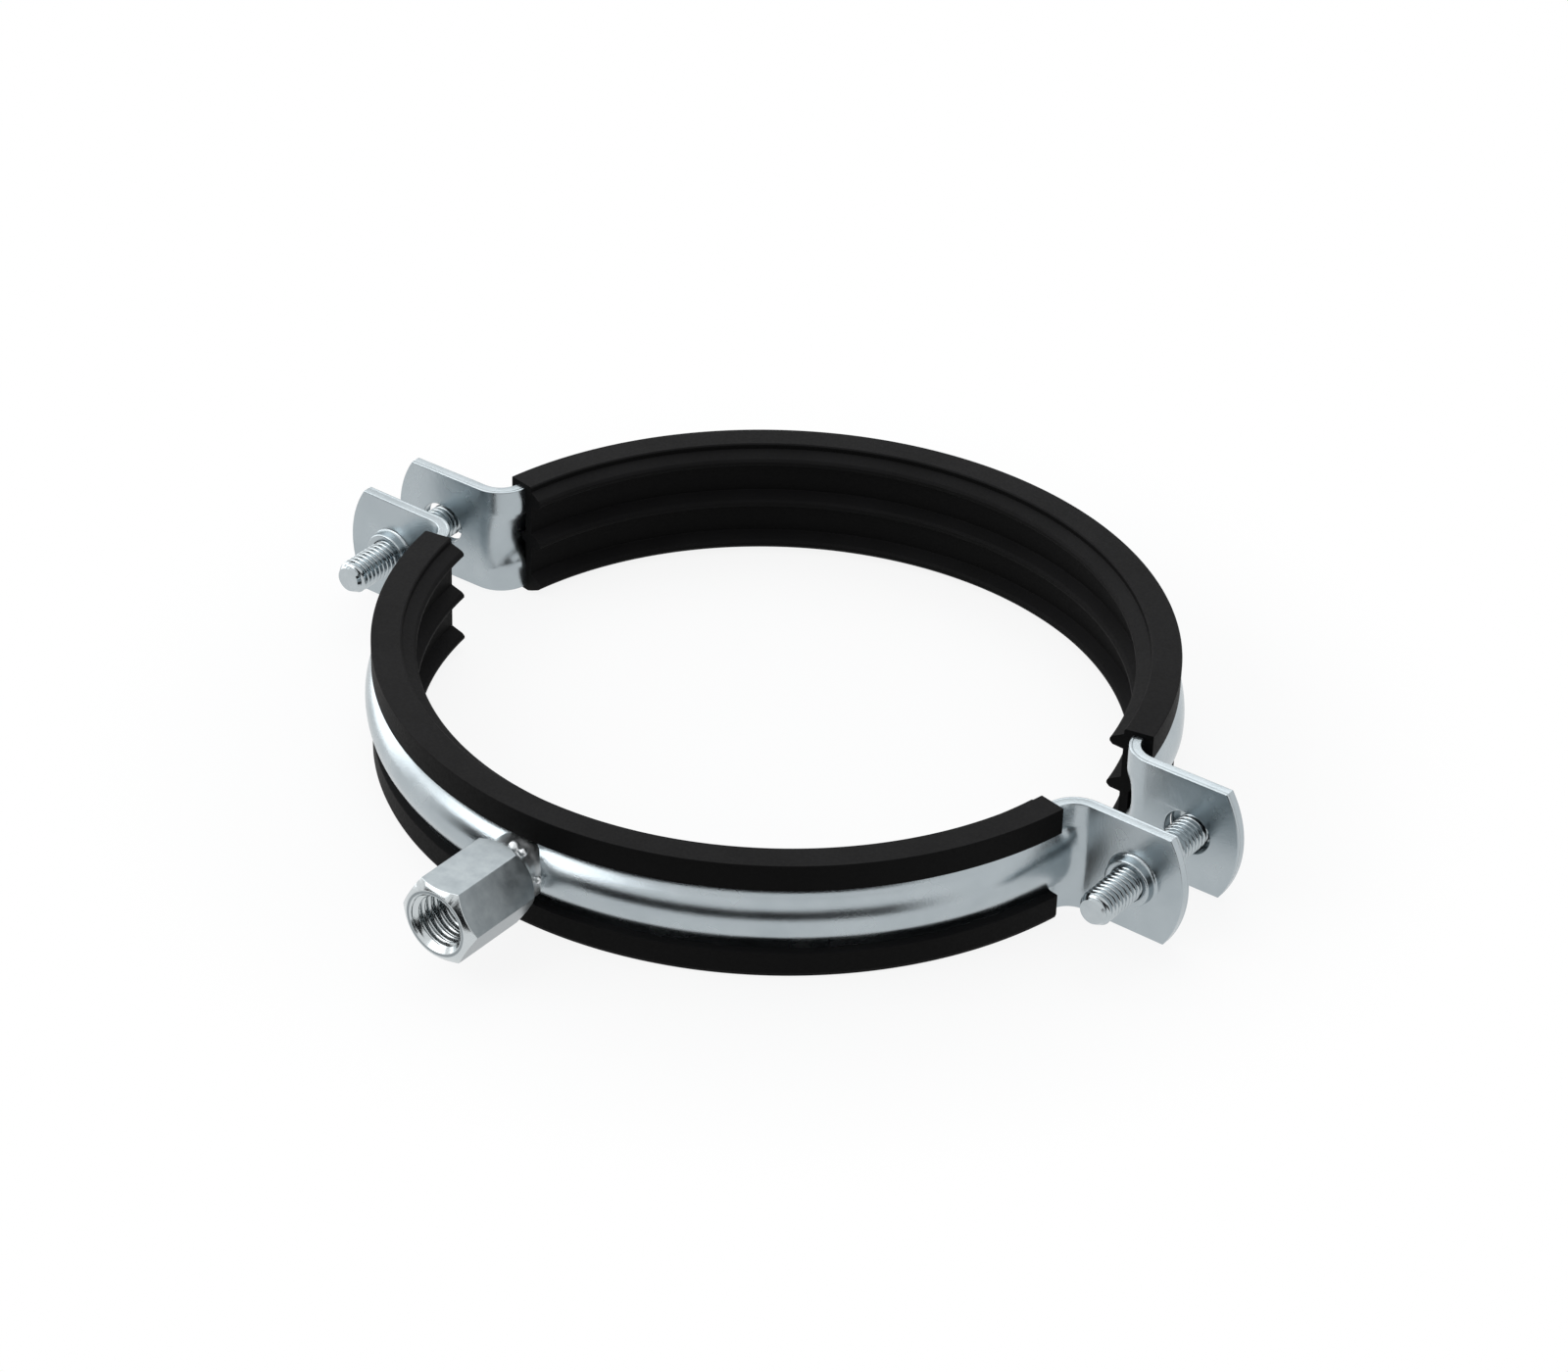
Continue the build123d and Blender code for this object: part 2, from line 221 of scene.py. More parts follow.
def extrudedRubber():
    # EPDM rubber drawn through a die: black, matt, with faint lines along its length
    look = {"black": "#080808", "bloomAndTopLightTone": "#1c1c1d", "rough": (0.55, 0.72), "specular": 0.07,
            "lineSize": 0.35, "lineStretch": 0.0012, "speckSize": 0.5, "cloudSize": 14,
            "dust": (0.55, 1.0), "paintedTopLightByFacing": (0.08, 0.75), "bump": 0.25, "bumpDepth": 0.02}
    material, tree, shader = newMaterial("extrudedRubber")
    place = addNode(tree, "ShaderNodeTexCoord")
    split = addNode(tree, "ShaderNodeSeparateXYZ", None, {0: place.outputs["Object"]})
    flat = addNode(tree, "ShaderNodeCombineXYZ", None, {"X": split.outputs["X"], "Y": split.outputs["Y"]})
    radius = addNode(tree, "ShaderNodeVectorMath", {"operation": "LENGTH"}, {0: flat.outputs[0]})
    turn = addNode(tree, "ShaderNodeMath", {"operation": "ARCTAN2"}, {
        0: split.outputs["Y"], 1: split.outputs["X"]})
    # the pattern moves little along the ring, so it draws into lines
    along = addNode(tree, "ShaderNodeMath", {"operation": "MULTIPLY"}, {
        0: turn.outputs[0], 1: look["lineStretch"]})
    across = addNode(tree, "ShaderNodeCombineXYZ", None, {
        "X": radius.outputs["Value"], "Y": along.outputs[0], "Z": split.outputs["Z"]})
    lines = addNode(tree, "ShaderNodeTexNoise", None, {
        "Vector": across.outputs[0], "Scale": 1 / (look["lineSize"] * mm), "Detail": 2.0})
    specks = addNode(tree, "ShaderNodeTexNoise", None, {
        "Vector": place.outputs["Object"], "Scale": 1 / (look["speckSize"] * mm),
        "Detail": 4.0, "Roughness": 0.7})
    clouds = addNode(tree, "ShaderNodeTexNoise", None, {
        "Vector": place.outputs["Object"], "Scale": 1 / (look["cloudSize"] * mm), "Detail": 2.0})
    dust = addNode(tree, "ShaderNodeMapRange", None, {
        "Value": clouds.outputs["Fac"], "From Min": 0.35, "From Max": 0.75,
        "To Min": look["dust"][0], "To Max": look["dust"][1]})
    # the bloom varies at random, and faces that look up are painted lighter on top of it, a painted top light
    facing = addNode(tree, "ShaderNodeSeparateXYZ", None, {0: place.outputs["Normal"]})
    paintedTopLightShare = addNode(tree, "ShaderNodeMapRange", None, {
        "Value": facing.outputs["Z"], "From Min": 0.1, "From Max": 0.9,
        "To Min": look["paintedTopLightByFacing"][0], "To Max": look["paintedTopLightByFacing"][1]})
    dustAndTopLightShare = addNode(tree, "ShaderNodeMath", {"operation": "MULTIPLY"}, {
        0: dust.outputs["Result"], 1: paintedTopLightShare.outputs["Result"]})
    # lighter tone: bloom at random, and painted top light on faces that look up
    tone = addNode(tree, "ShaderNodeMix", {"data_type": "RGBA"}, {
        "Factor": dustAndTopLightShare.outputs[0], "A": hexColor(look["black"]), "B": hexColor(look["bloomAndTopLightTone"])})
    gloss = addNode(tree, "ShaderNodeMapRange", None, {
        "Value": specks.outputs["Fac"], "From Min": 0.3, "From Max": 0.7,
        "To Min": look["rough"][0], "To Max": look["rough"][1]})
    relief = addNode(tree, "ShaderNodeMath", {"operation": "ADD"}, {
        0: lines.outputs["Fac"], 1: specks.outputs["Fac"]})
    bump = addNode(tree, "ShaderNodeBump", None, {
        "Height": relief.outputs[0], "Strength": look["bump"], "Distance": look["bumpDepth"] * mm})
    tree.links.new(tone.outputs["Result"], shader.inputs["Base Color"])
    tree.links.new(gloss.outputs["Result"], shader.inputs["Roughness"])
    tree.links.new(bump.outputs["Normal"], shader.inputs["Normal"])
    shader.inputs["IOR"].default_value = 1.5
    shader.inputs["Specular IOR Level"].default_value = look["specular"]
    return material


rubber = extrudedRubber()
print("materials made")


# Strip halves

strip = {
    "width": 20.0, "thickness": 2.0, "innerRadius": 63.5,
    "beadHeight": 2.7, "beadHalfWidth": 5.9, "beadRootRadius": 2.6,
    "beadFullFrom": 26.0, "beadAtBend": 1.5,
    "earInnerFace": 6.3, "bendRadius": 4.0, "earStraight": 15.1, "earBulge": 2.9, "earCornerRound": 0.2,
    "plateFromBend": 0.5, "edgeRound": 0.2,
    # the groove where the shears broke through, at heights over the inner face
    "shearLine": (0.64, 0.57, 0.50), "shearDepth": 0.07,
    "screwFromBend": 8.7, "collarRadius": 4.2, "collarHeight": 2.0, "collarRootRound": 0.6, "collarBore": 3.0,
    "collarLip": 0.35, "collarMouthRound": 0.6, "collarAround": 72,
    "slotFromBend": 4.2, "slotLength": 8.4, "slotHeight": 7.0, "slotSoft": 0.25,
    "capTurn": 1.2, "smoothAngle": 46,
    "beadSteps": 22, "flatSteps": 4, "ringSteps": 120, "bendSteps": 16, "arcSteps": 28, "topSteps": 6,
}
halfWidth = strip["width"] / 2
earOuterFace = strip["earInnerFace"] + strip["thickness"]
bendY = -(earOuterFace + strip["bendRadius"])
bendX = sqrt((strip["innerRadius"] + strip["thickness"] + strip["bendRadius"]) ** 2 - bendY ** 2)
bendStart = -atan2(bendY, bendX)
plateX = bendX + strip["plateFromBend"]
screwX = bendX + strip["screwFromBend"]
earCornerX = bendX + strip["earStraight"]
earTipX = earCornerX + strip["earBulge"]


def beadCurve(height):
    outer, inner = [], []
    steps, half = strip["beadSteps"], strip["beadHalfWidth"]
    root, wall = strip["beadRootRadius"], strip["thickness"]
    slope = 2 * atan(height / half)
    crown = half / sin(slope) - root if height > 1e-6 else 0.0
    for i in range(steps, -steps - 1, -1):
        part = 2 * abs(i) / steps
        if height <= 1e-6:
            z, rise, tilt = half * abs(i) / steps, 0.0, 0.0
        elif part <= 1:
            tilt = slope * part
            z, rise = crown * sin(tilt), height - crown * (1 - cos(tilt))
        else:
            tilt = slope * (2 - part)
            z, rise = half - root * sin(tilt), root * (1 - cos(tilt))
        side = 1 if i >= 0 else -1
        outer.append((wall + rise, side * z))
        inner.append((wall + rise - wall * cos(tilt), side * (z - wall * sin(tilt))))
    return outer, inner


def stripSection(height):
    # closed loop of (height above the inner face, z): outer face downwards, then inner face upwards
    e, t, w = strip["edgeRound"], strip["thickness"], halfWidth
    outer, inner = beadCurve(height)
    quarter = [0, 30, 60, 90]

    def run(d, zFrom, zTo):
        return [(d, zFrom + (zTo - zFrom) * k / strip["flatSteps"]) for k in range(1, strip["flatSteps"])]
    loop = [(t - e + e * cos(radians(a)), w - e + e * sin(radians(a))) for a in quarter[::-1]]
    loop += run(t, w - e, outer[0][1]) + outer + run(t, outer[-1][1], -w + e)
    outerCount = len(loop)
    high, low, shallow = strip["shearLine"][0], strip["shearLine"][2], strip["shearDepth"]
    groove = [(high, w), (strip["shearLine"][1], w - shallow), (low, w)]
    loop += [(t - e + e * cos(radians(a)), -w + e - e * sin(radians(a))) for a in quarter]
    loop += [(d, -z) for d, z in groove]
    loop += [(e - e * cos(radians(a)), -w + e - e * sin(radians(a))) for a in quarter[::-1]]
    loop += run(0, -w + e, inner[-1][1]) + inner[::-1] + run(0, inner[0][1], w - e)
    loop += [(e - e * cos(radians(a)), w - e + e * sin(radians(a))) for a in quarter]
    loop += groove[::-1]
    return loop, outerCount


def ringPlace(angle):
    return lambda d, z: ((strip["innerRadius"] + d) * cos(angle), -(strip["innerRadius"] + d) * sin(angle), z)


def bendPlace(part):
    first = atan2(-bendY, -bendX)
    angle = first + part * (pi / 2 - first)

    def place(d, z):
        r = strip["bendRadius"] + strip["thickness"] - d
        return (bendX + r * cos(angle), bendY + r * sin(angle), z)
    return place


def ease(t):
    t = min(1.0, max(0.0, t))
    return t * t * (3 - 2 * t)


def earOutline():
    # the ear's outline with its outward directions, from the top of the joint round to the bottom
    w, top = halfWidth, strip["topSteps"]
    sag = strip["earBulge"]
    arcRadius = (w * w + sag * sag) / (2 * sag)
    arcX = earTipX - arcRadius
    r = strip["earCornerRound"]
    # corner rounding circle touches the top edge and the end arc from inside
    cornerZ = w - r
    cornerX = arcX + sqrt((arcRadius - r) ** 2 - cornerZ ** 2)
    meet = atan2(cornerZ, cornerX - arcX)
    outline = [((plateX + (cornerX - plateX) * k / top, w), (0.0, 1.0)) for k in range(top + 1)]
    for k in range(1, 5):
        a = pi / 2 + (meet - pi / 2) * k / 4
        outline.append(((cornerX + r * cos(a), cornerZ + r * sin(a)), (cos(a), sin(a))))
    for k in range(1, strip["arcSteps"]):
        a = meet - 2 * meet * k / strip["arcSteps"]
        outline.append(((arcX + arcRadius * cos(a), arcRadius * sin(a)), (cos(a), sin(a))))
    outline += [((p[0], -p[1]), (n[0], -n[1])) for p, n in outline[:top + 5][::-1]]
    return outline


def collarRings():
    # pulled collar from its root over the lip and down the bore to the rounded mouth
    t, around = strip["thickness"], strip["collarAround"]
    bore, mouth = strip["collarBore"], strip["collarMouthRound"]
    root, height = strip["collarRootRound"], strip["collarHeight"]
    out, lip = strip["collarRadius"], strip["collarLip"]
    profile = [(out + root + root * cos(radians(a)), t + root + root * sin(radians(a)))
               for a in range(-90, -181, -15)]
    profile += [(out - lip + lip * cos(radians(a)), t + height - lip + lip * sin(radians(a)))
                for a in range(0, 91, 15)]
    profile += [(bore + 0.3, t + height), (bore + 0.1, t + height - 0.06)]
    profile += [(bore, t + height - 0.3), (bore, mouth)]
    profile += [(bore + mouth - mouth * cos(radians(a)), mouth - mouth * sin(radians(a)))
                for a in range(15, 91, 15)]
    return [[(screwX + radius * cos(2 * pi * k / around), -strip["earInnerFace"] - d,
              radius * sin(2 * pi * k / around)) for k in range(around)] for radius, d in profile]


def slotRings():
    # slot through the ear, its edges softened on both faces
    t, soft, radius = strip["thickness"], strip["slotSoft"], strip["slotHeight"] / 2
    first = bendX + strip["slotFromBend"]
    ends = (first + radius, first + strip["slotLength"] - radius)
    shape = [(ends[1], a) for a in range(-90, 91, 6)] + [(ends[0], a) for a in range(90, 271, 6)]
    profile = [(radius + soft * (1 - sin(radians(a))), t - soft * (1 - cos(radians(a))))
               for a in (0, 30, 60, 90)]
    profile += [(reach, t - d) for reach, d in profile[::-1]]
    return [[(x + reach * cos(radians(a)), -strip["earInnerFace"] - d, reach * sin(radians(a)))
             for x, a in shape] for reach, d in profile]


def bandSide(withCollar):
    # one side of a half: from the middle of the ring, round the bend and out to the ear's end
    points, faces = [], []
    full = radians(strip["beadFullFrom"])
    stations = []
    for k in range(strip["ringSteps"] + 1):
        angle = pi / 2 + (bendStart - pi / 2) * k / strip["ringSteps"]
        grown = ease((angle - bendStart) / (full - bendStart))
        rise = strip["beadAtBend"] + (strip["beadHeight"] - strip["beadAtBend"]) * grown
        stations.append((ringPlace(angle), rise))
    for k in range(1, strip["bendSteps"] + 1):
        part = k / strip["bendSteps"]
        stations.append((bendPlace(part), strip["beadAtBend"] * (1 - ease(part))))
    stations.append((lambda d, z: (plateX, -strip["earInnerFace"] - d, z), 0.0))
    for place, rise in stations:
        loop, outerCount = stripSection(rise)
        points += [place(d, z) for d, z in loop]
    size = len(loop)
    for row in range(len(stations) - 1):
        for k in range(size):
            a, b = row * size + k, row * size + (k + 1) % size
            faces.append((a, b, b + size, a + size))

    outline = earOutline()
    e, t = strip["edgeRound"], strip["thickness"]
    rings = [(e * (1 - sin(radians(a))), t - e * (1 - cos(radians(a)))) for a in (0, 30, 60, 90)]
    groove = list(zip((0.0, strip["shearDepth"], 0.0), strip["shearLine"]))
    rings += groove + [(inset, t - d) for inset, d in rings[::-1]]
    start = len(points)
    count = len(outline)
    for inset, d in rings:
        points += [(p[0] - inset * n[0], -strip["earInnerFace"] - d, p[1] - inset * n[1]) for p, n in outline]
    for row in range(len(rings) - 1):
        for k in range(count - 1):
            a = start + row * count + k
            faces.append((a, a + 1, a + 1 + count, a + count))

    wallRings = collarRings() if withCollar else slotRings()
    holeStart = len(points)
    around = len(wallRings[0])
    for ring in wallRings:
        points += ring
    for row in range(len(wallRings) - 1):
        for k in range(around):
            a, b = holeStart + row * around + k, holeStart + row * around + (k + 1) % around
            faces.append((a, b, b + around, a + around))

    # flat faces of the ear between its outline, the last strip section and the hole
    def flatFace(ringRow, joint, holeRow):
        border = [start + ringRow * count + k for k in range(count)]
        joint = [(len(stations) - 1) * size + k for k in joint]
        hole = [holeStart + holeRow * around + k for k in range(around)]
        loops = [border + joint, hole]
        flat = [[Vector((points[i][0], points[i][2], 0)) for i in loop] for loop in loops]
        order = loops[0] + loops[1]
        faces.extend(tuple(order[i] for i in tri) for tri in tessellate_polygon(flat))
    # the rounded edges and the grooves of the section lie outside the two flat faces
    flatFace(0, range(outerCount - 1, 3, -1), 0)
    flatFace(len(rings) - 1, range(outerCount + 11, size - 7), len(wallRings) - 1)
    return points, faces


def bandMesh(name, withCollar, isCap):
    points, faces = bandSide(withCollar)
    count = len(points)
    points = points + [(-x, y, z) for x, y, z in points]
    faces = faces + [tuple(i + count for i in face[::-1]) for face in faces]
    if isCap:
        turn = radians(strip["capTurn"])
        points = [(x, -y, z) for x, y, z in points]
        points = [(x * cos(turn) - y * sin(turn), x * sin(turn) + y * cos(turn), z) for x, y, z in points]
    mesh = buildMesh(name, points, faces)
    smoothByAngle(mesh, strip["smoothAngle"])
    return weightNormals(newObject(name, mesh))


baseStrip = bandMesh("baseStrip", True, False)
capStrip = bandMesh("capStrip", False, True)
dress(baseStrip, zincStrip, "base", "zinc_strip", "base_band")
dress(capStrip, zincStrip, "cap", "zinc_strip", "cap_band")
print("strip halves:", len(baseStrip.data.polygons), "and", len(capStrip.data.polygons), "faces")


# Rubber linings, drawn along the strip by geometry nodes

lining = {
    "pathRadius": 60.0, "boreRadius": 59.6, "webInner": 62.0, "legOuter": 67.1, "halfWidth": 10.7,
    "legEdge": 5.95, "ribRoots": (9.7, 1.4, -6.9), "endAngle": 10.6, "keelDepth": 1.1, "keelHalf": 1.0,
    "pathSteps": 220, "smoothAngle": 40,
}


def liningOutline():
    # corners of the section as (radius, z, rounding), counter-clockwise from the top rib
    c = lining
    inner, outer = strip["innerRadius"], strip["innerRadius"] + strip["thickness"]
    web, nose, leg, top = c["webInner"], c["boreRadius"], c["legOuter"], c["halfWidth"]
    corners = []
    for root in c["ribRoots"]:
        corners += [(web, root, 0.12), (nose + 0.42, root - 0.95, 0.5), (nose, root - 1.42, 0.25),
                    (nose, root - 1.92, 0.3), (nose + 0.55, root - 2.5, 0.35)]
        if root > c["ribRoots"][-1]:
            corners.append((web, root - 2.85, 0.12))
    keel, keelHalf = inner + c["keelDepth"], c["keelHalf"]
    corners += [(web - 0.15, -10.25, 0.5), (web + 0.9, -top, 0.5), (leg - 0.9, -top, 0.4),
                (leg - 0.25, -top + 0.3, 0.2), (leg, -top + 0.95, 0.3), (leg, -c["legEdge"], 0.12),
                (outer, -c["legEdge"], 0.06), (outer, -halfWidth, 0.05), (inner, -halfWidth, 0.05),
                (inner, -keelHalf, 0.12), (keel, -keelHalf + 0.25, 0.25), (keel, keelHalf - 0.25, 0.25),
                (inner, keelHalf, 0.12), (inner, halfWidth, 0.05), (outer, halfWidth, 0.05),
                (outer, c["legEdge"], 0.06), (leg, c["legEdge"], 0.12), (leg, top, 0.12),
                (web + 0.25, top, 0.15), (web, top - 0.2, 0.1)]
    return corners


def roundCorners(corners, steps=4):
    path = []
    for k, (x, z, rounding) in enumerate(corners):
        before = Vector(corners[k - 1][:2]) - Vector((x, z))
        after = Vector(corners[(k + 1) % len(corners)][:2]) - Vector((x, z))
        half = before.angle(after) / 2
        reach = min(rounding / tan(half), before.length * 0.45, after.length * 0.45)
        radius = reach * tan(half)
        if radius < 0.01:
            path.append((x, z))
            continue
        a, b = before.normalized(), after.normalized()
        centre = Vector((x, z)) + (a + b).normalized() * (radius / sin(half))
        first, last = Vector((x, z)) + a * reach - centre, Vector((x, z)) + b * reach - centre
        sweep = first.angle_signed(last)
        for step in range(steps + 1):
            turned = first.copy()
            turned.rotate(Matrix.Rotation(-sweep * step / steps, 2))
            path.append(tuple(centre + turned))
    return path


def sweepTree():
    tree = bpy.data.node_groups.new("liningSweep", "GeometryNodeTree")
    face = tree.interface
    face.new_socket("Geometry", in_out="INPUT", socket_type="NodeSocketGeometry")
    for name, kind in (("Path Radius", "NodeSocketFloat"), ("Start Angle", "NodeSocketFloat"),
                       ("Sweep Angle", "NodeSocketFloat"), ("Path Steps", "NodeSocketInt"),
                       ("Rubber", "NodeSocketMaterial")):
        face.new_socket(name, in_out="INPUT", socket_type=kind)
    face.new_socket("Geometry", in_out="OUTPUT", socket_type="NodeSocketGeometry")
    source = addNode(tree, "NodeGroupInput").outputs
    path = addNode(tree, "GeometryNodeCurveArc", {"mode": "RADIUS"}, {
        "Resolution": source["Path Steps"], "Radius": source["Path Radius"],
        "Start Angle": source["Start Angle"], "Sweep Angle": source["Sweep Angle"]})
    upright = addNode(tree, "GeometryNodeSetCurveNormal", {"mode": "Z_UP"}, {"Curve": path.outputs["Curve"]})
    section = addNode(tree, "GeometryNodeMeshToCurve", None, {"Mesh": source["Geometry"]})
    body = addNode(tree, "GeometryNodeCurveToMesh", None, {
        "Curve": upright.outputs["Curve"], "Profile Curve": section.outputs["Curve"], "Fill Caps": True})
    real = addNode(tree, "GeometryNodeRealizeInstances", None, {"Geometry": body.outputs["Mesh"]})
    finish = addNode(tree, "GeometryNodeSetMaterial", None, {
        "Geometry": real.outputs["Geometry"], "Material": source["Rubber"]})
    addNode(tree, "NodeGroupOutput", None, {0: finish.outputs["Geometry"]})
    return tree


def setInputs(modifier, values):
    for item in modifier.node_group.interface.items_tree:
        if item.item_type == "SOCKET" and item.in_out == "INPUT" and item.name in values:
            modifier[item.identifier] = values[item.name]


def sweptLining(name, tree, startAngle, sweepAngle):
    outline = roundCorners(liningOutline())
    count = len(outline)
    # the sweep turns the section over, so z goes in negative
    profile = bpy.data.meshes.new(name)
    profile.from_pydata([((x - lining["pathRadius"]) * mm, -z * mm, 0) for x, z in outline],
                        [(k, (k + 1) % count) for k in range(count)], [])
    obj = newObject(name, profile)
    modifier = obj.modifiers.new("sweep", "NODES")
    modifier.node_group = tree
    setInputs(modifier, {"Path Radius": lining["pathRadius"] * mm, "Start Angle": startAngle,
                         "Sweep Angle": sweepAngle, "Path Steps": lining["pathSteps"], "Rubber": rubber})
    applyModifiers(obj)
    turnOutward(obj.data, True)
    smoothByAngle(obj.data, lining["smoothAngle"])
    return weightNormals(obj)


liningTree = sweepTree()
gapAngle = radians(lining["endAngle"])
baseRubber = sweptLining("baseRubber", liningTree, pi + gapAngle, pi - 2 * gapAngle)
capRubber = sweptLining("capRubber", liningTree, gapAngle + radians(strip["capTurn"]), pi - 2 * gapAngle)
dress(baseRubber, rubber, "base", "rubber_lining", "base_lining")
dress(capRubber, rubber, "cap", "rubber_lining", "cap_lining")
print("linings:", len(baseRubber.data.polygons), "faces each")


# Threads by geometry nodes: one sheet wound round the Y axis

def threadTree(name, isInside):
    tree = bpy.data.node_groups.new(name, "GeometryNodeTree")
    face = tree.interface
    for label, kind in (("Pitch", "NodeSocketFloat"), ("Crest Radius", "NodeSocketFloat"),
                        ("Root Radius", "NodeSocketFloat"), ("Start", "NodeSocketFloat"),
                        ("End", "NodeSocketFloat"), ("Mouth Radius", "NodeSocketFloat"),
                        ("Mouth Slope", "NodeSocketFloat"), ("Axis X", "NodeSocketFloat"),
                        ("Around", "NodeSocketInt"), ("Per Pitch", "NodeSocketInt"),
                        ("Metal", "NodeSocketMaterial")):
        face.new_socket(label, in_out="INPUT", socket_type=kind)
    face.new_socket("Geometry", in_out="OUTPUT", socket_type="NodeSocketGeometry")
    source = addNode(tree, "NodeGroupInput").outputs

    def calc(operation, a, b=0.0, c=0.0):
        return addNode(tree, "ShaderNodeMath", {"operation": operation}, {0: a, 1: b, 2: c}).outputs[0]
    length = calc("SUBTRACT", source["End"], source["Start"])
    turns = calc("ADD", calc("CEIL", calc("DIVIDE", length, source["Pitch"])), 2.0)
    rows = calc("ADD", calc("MULTIPLY", turns, source["Per Pitch"]), 1.0)
    columns = calc("ADD", source["Around"], 1.0)
    sheet = addNode(tree, "GeometryNodeMeshGrid", None, {
        "Size X": 1.0, "Size Y": 1.0, "Vertices X": columns, "Vertices Y": rows})
    place = addNode(tree, "GeometryNodeInputPosition")
    split = addNode(tree, "ShaderNodeSeparateXYZ", None, {0: place.outputs[0]})
    around = calc("ADD", split.outputs["X"], 0.5)
    winding = calc("MULTIPLY", calc("ADD", split.outputs["Y"], 0.5), turns)
    angle = calc("MULTIPLY", around, 2 * pi)
    # a right-hand thread: y grows with the turn
    rise = calc("MULTIPLY", calc("SUBTRACT", calc("ADD", winding, around), 1.0), source["Pitch"])
    y = calc("MINIMUM", calc("MAXIMUM", calc("ADD", source["Start"], rise), source["Start"]), source["End"])
    # 0 at the root and 1 at the crest; the small shift keeps whole turns off the fraction's jump
    phase = calc("FRACT", calc("ADD", winding, 0.001))
    wave = calc("MULTIPLY", calc("ABSOLUTE", calc("SUBTRACT", phase, 0.5)), 2.0)
    ridge = addNode(tree, "ShaderNodeMapRange", {"interpolation_type": "SMOOTHSTEP"}, {
        "Value": wave, "From Min": 0.1, "From Max": 0.92,
        "To Min": source["Root Radius"], "To Max": source["Crest Radius"]})
    fromStart = calc("MULTIPLY", calc("SUBTRACT", y, source["Start"]), source["Mouth Slope"])
    if isInside:
        radius = calc("MAXIMUM", ridge.outputs["Result"], calc("SUBTRACT", source["Mouth Radius"], fromStart))
    else:
        radius = calc("MINIMUM", ridge.outputs["Result"], calc("ADD", source["Mouth Radius"], fromStart))
    x = calc("ADD", calc("MULTIPLY", radius, calc("SINE", angle)), source["Axis X"])
    z = calc("MULTIPLY", radius, calc("COSINE", angle))
    moved = addNode(tree, "ShaderNodeCombineXYZ", None, {"X": x, "Y": y, "Z": z})
    wound = addNode(tree, "GeometryNodeSetPosition", None, {
        "Geometry": sheet.outputs["Mesh"], "Position": moved.outputs[0]})
    welded = addNode(tree, "GeometryNodeMergeByDistance", None, {
        "Geometry": wound.outputs["Geometry"], "Distance": joinDistance * mm})
    real = addNode(tree, "GeometryNodeRealizeInstances", None, {"Geometry": welded.outputs["Geometry"]})
    finish = addNode(tree, "GeometryNodeSetMaterial", None, {
        "Geometry": real.outputs["Geometry"], "Material": source["Metal"]})
    addNode(tree, "NodeGroupOutput", None, {0: finish.outputs["Geometry"]})
    return tree


def threadObject(name, tree, values):
    obj = newObject(name, bpy.data.meshes.new(name))
    modifier = obj.modifiers.new("thread", "NODES")
    modifier.node_group = tree
    setInputs(modifier, values)
    return applyModifiers(obj)


def joinObjects(name, objects):
    # one mesh out of several; all of them already lie in place
    bm = bmesh.new()
    for obj in objects:
        bm.from_mesh(obj.data)
        bpy.data.objects.remove(obj)
    bmesh.ops.remove_doubles(bm, verts=bm.verts, dist=joinDistance * mm)
    mesh = bpy.data.meshes.new(name)
    bm.to_mesh(mesh)
    bm.free()
    return newObject(name, mesh)


def revolved(name, profile, around, centreX):
    # profile of (radius, y) in millimetres about the Y axis through centreX; radius 0 closes the end
    points, faces = [], []
    for radius, y in profile:
        points += ringPoints(radius, y, around, centreX)
    for row in range(len(profile) - 1):
        for k in range(around):
            a, b = row * around + k, row * around + (k + 1) % around
            faces.append((a, b, b + around, a + around))
    return newObject(name, buildMesh(name, points, faces))


screw = {
    "pitch": 1.0, "crest": 2.95, "root": 2.36, "seatY": 10.05, "length": 30.0, "plain": 0.9,
    "tipRadius": 2.15, "tipSlope": 0.65,
    "headRadius": 4.9, "headHeight": 3.6, "headRound": 0.6, "headSoft": 0.12,
    "driveWidth": 1.7, "driveDepth": 1.8, "around": 72, "headAround": 96, "perPitch": 14, "smoothAngle": 38,
}


